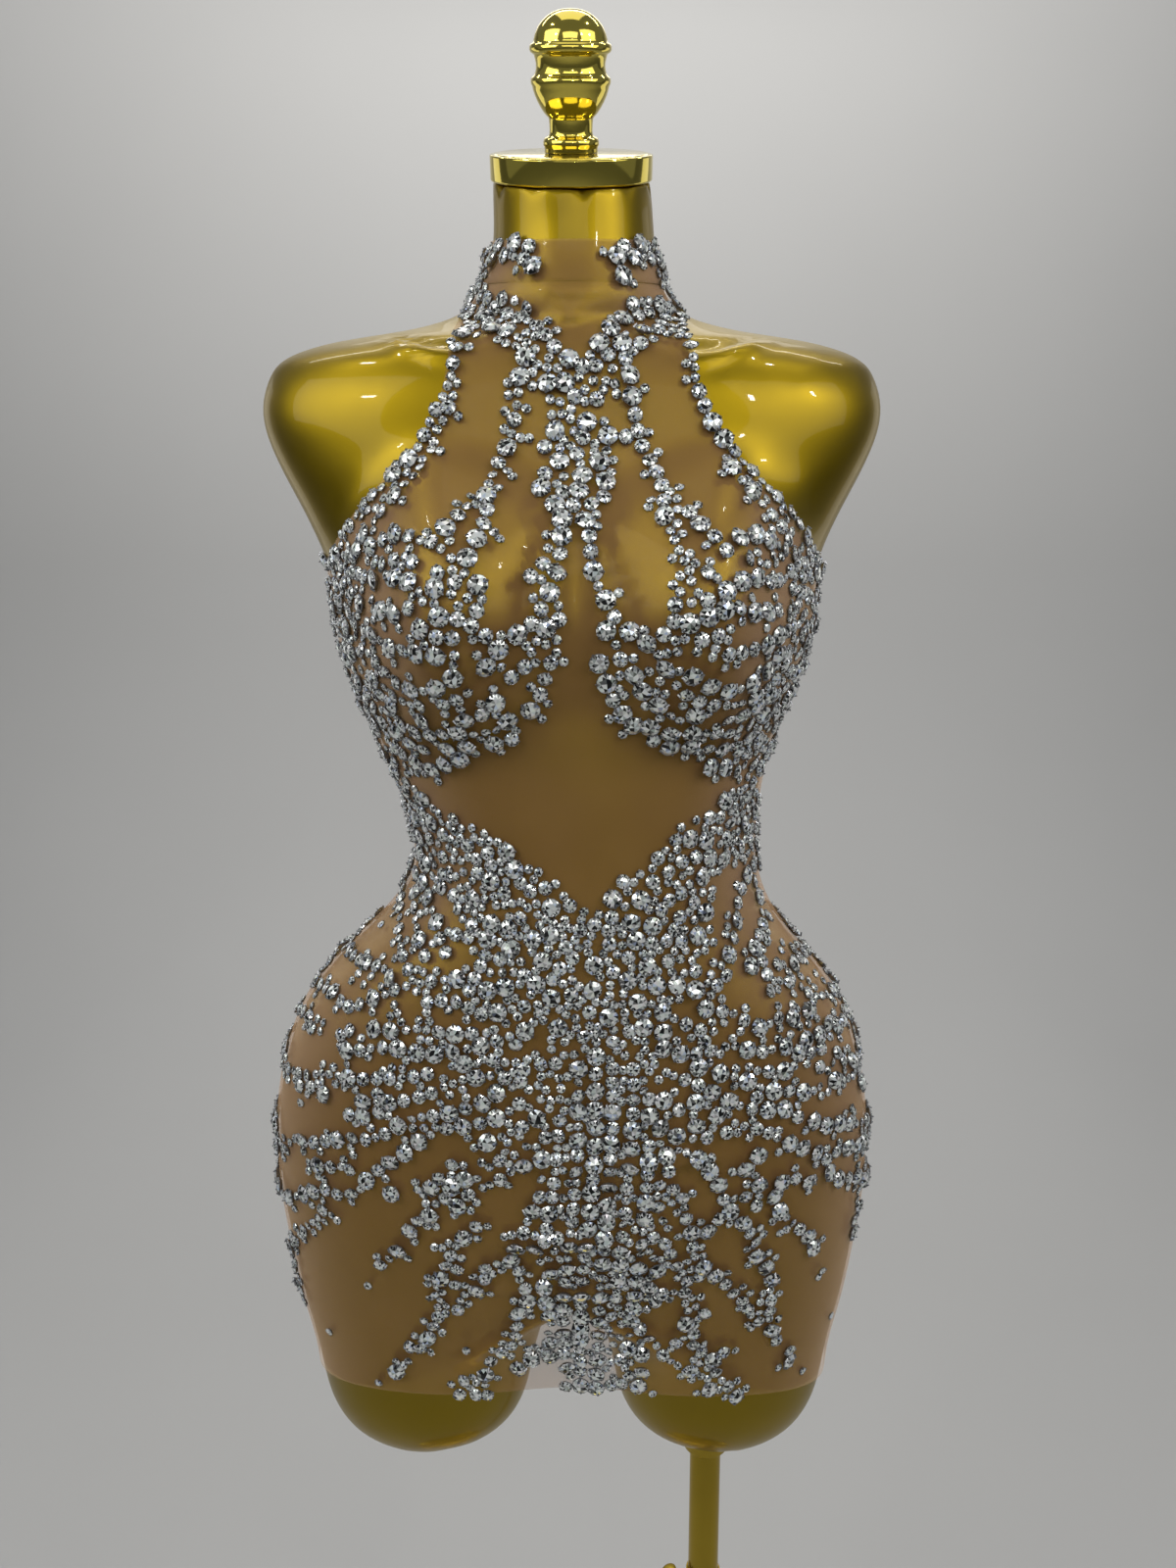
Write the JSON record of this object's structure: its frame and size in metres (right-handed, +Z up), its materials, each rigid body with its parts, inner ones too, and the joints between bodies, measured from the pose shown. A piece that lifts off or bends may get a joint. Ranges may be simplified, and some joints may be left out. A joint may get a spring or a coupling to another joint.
{
  "type": "mesh dress on a dress form with a pole stand",
  "caption": "Sheer sleeveless halter mesh dress with a stand collar and scattered crystals, on an armless gold dress form with a sliding, turning pole stand.",
  "frame": {"origin": "middle of the base plate's underside, on the floor", "axes": "+Z up, -Y is the front of the dress, +X is to the right seen from the front"},
  "size_m": [0.3966, 0.38, 1.666],
  "materials": {
    "mesh": "sheer stretch mesh, skin tan, matt",
    "zip_tape": "fine woven tape, skin tan",
    "zip_metal": "polished",
    "crystal": "cut glass with a silvered back",
    "setting": "dark silver claws",
    "gold_lacquer": "glossy metallic gold lacquer",
    "polished_gold": "mirror polished gold plate",
    "brass": "polished"
  },
  "bodies": {
    "stand": {"base_plate": "brass", "base_socket": "brass", "outer_tube": "brass"},
    "mast": {"inner_pole": "brass"},
    "form": {"form_torso": "gold_lacquer", "front": "mesh", "back_left": "mesh", "back_right": "mesh", "collar_band": "mesh", "zip_tape": "zip_tape", "zip_slider": "zip_metal", "neck_cap": "polished_gold", "finial": "polished_gold", "pole_socket": "brass"},
    "screw": {"clamp_screw": "brass"},
    "pull": {"zip_pull": "zip_metal"}
  },
  "joints": [
    {"name": "height", "type": "slide", "parent": "stand", "child": "mast", "axis": [0, 0, 1], "range_m": [-0.1, 0.25]},
    {"name": "swivel", "type": "hinge", "parent": "mast", "child": "form", "pos_m": [0.096, 0.015, 0.75], "axis": [0, 0, 1], "continuous": true},
    {"name": "clamp_turn", "type": "hinge", "parent": "stand", "child": "screw", "pos_m": [0.0785, 0.015, 0.623], "axis": [-1, 0, 0], "continuous": true},
    {"name": "pull_swing", "type": "hinge", "parent": "form", "child": "pull", "pos_m": [0.00226, 0.05529, 1.55937], "axis": [1, 0, 0], "range_deg": [0, 140]}
  ]
}
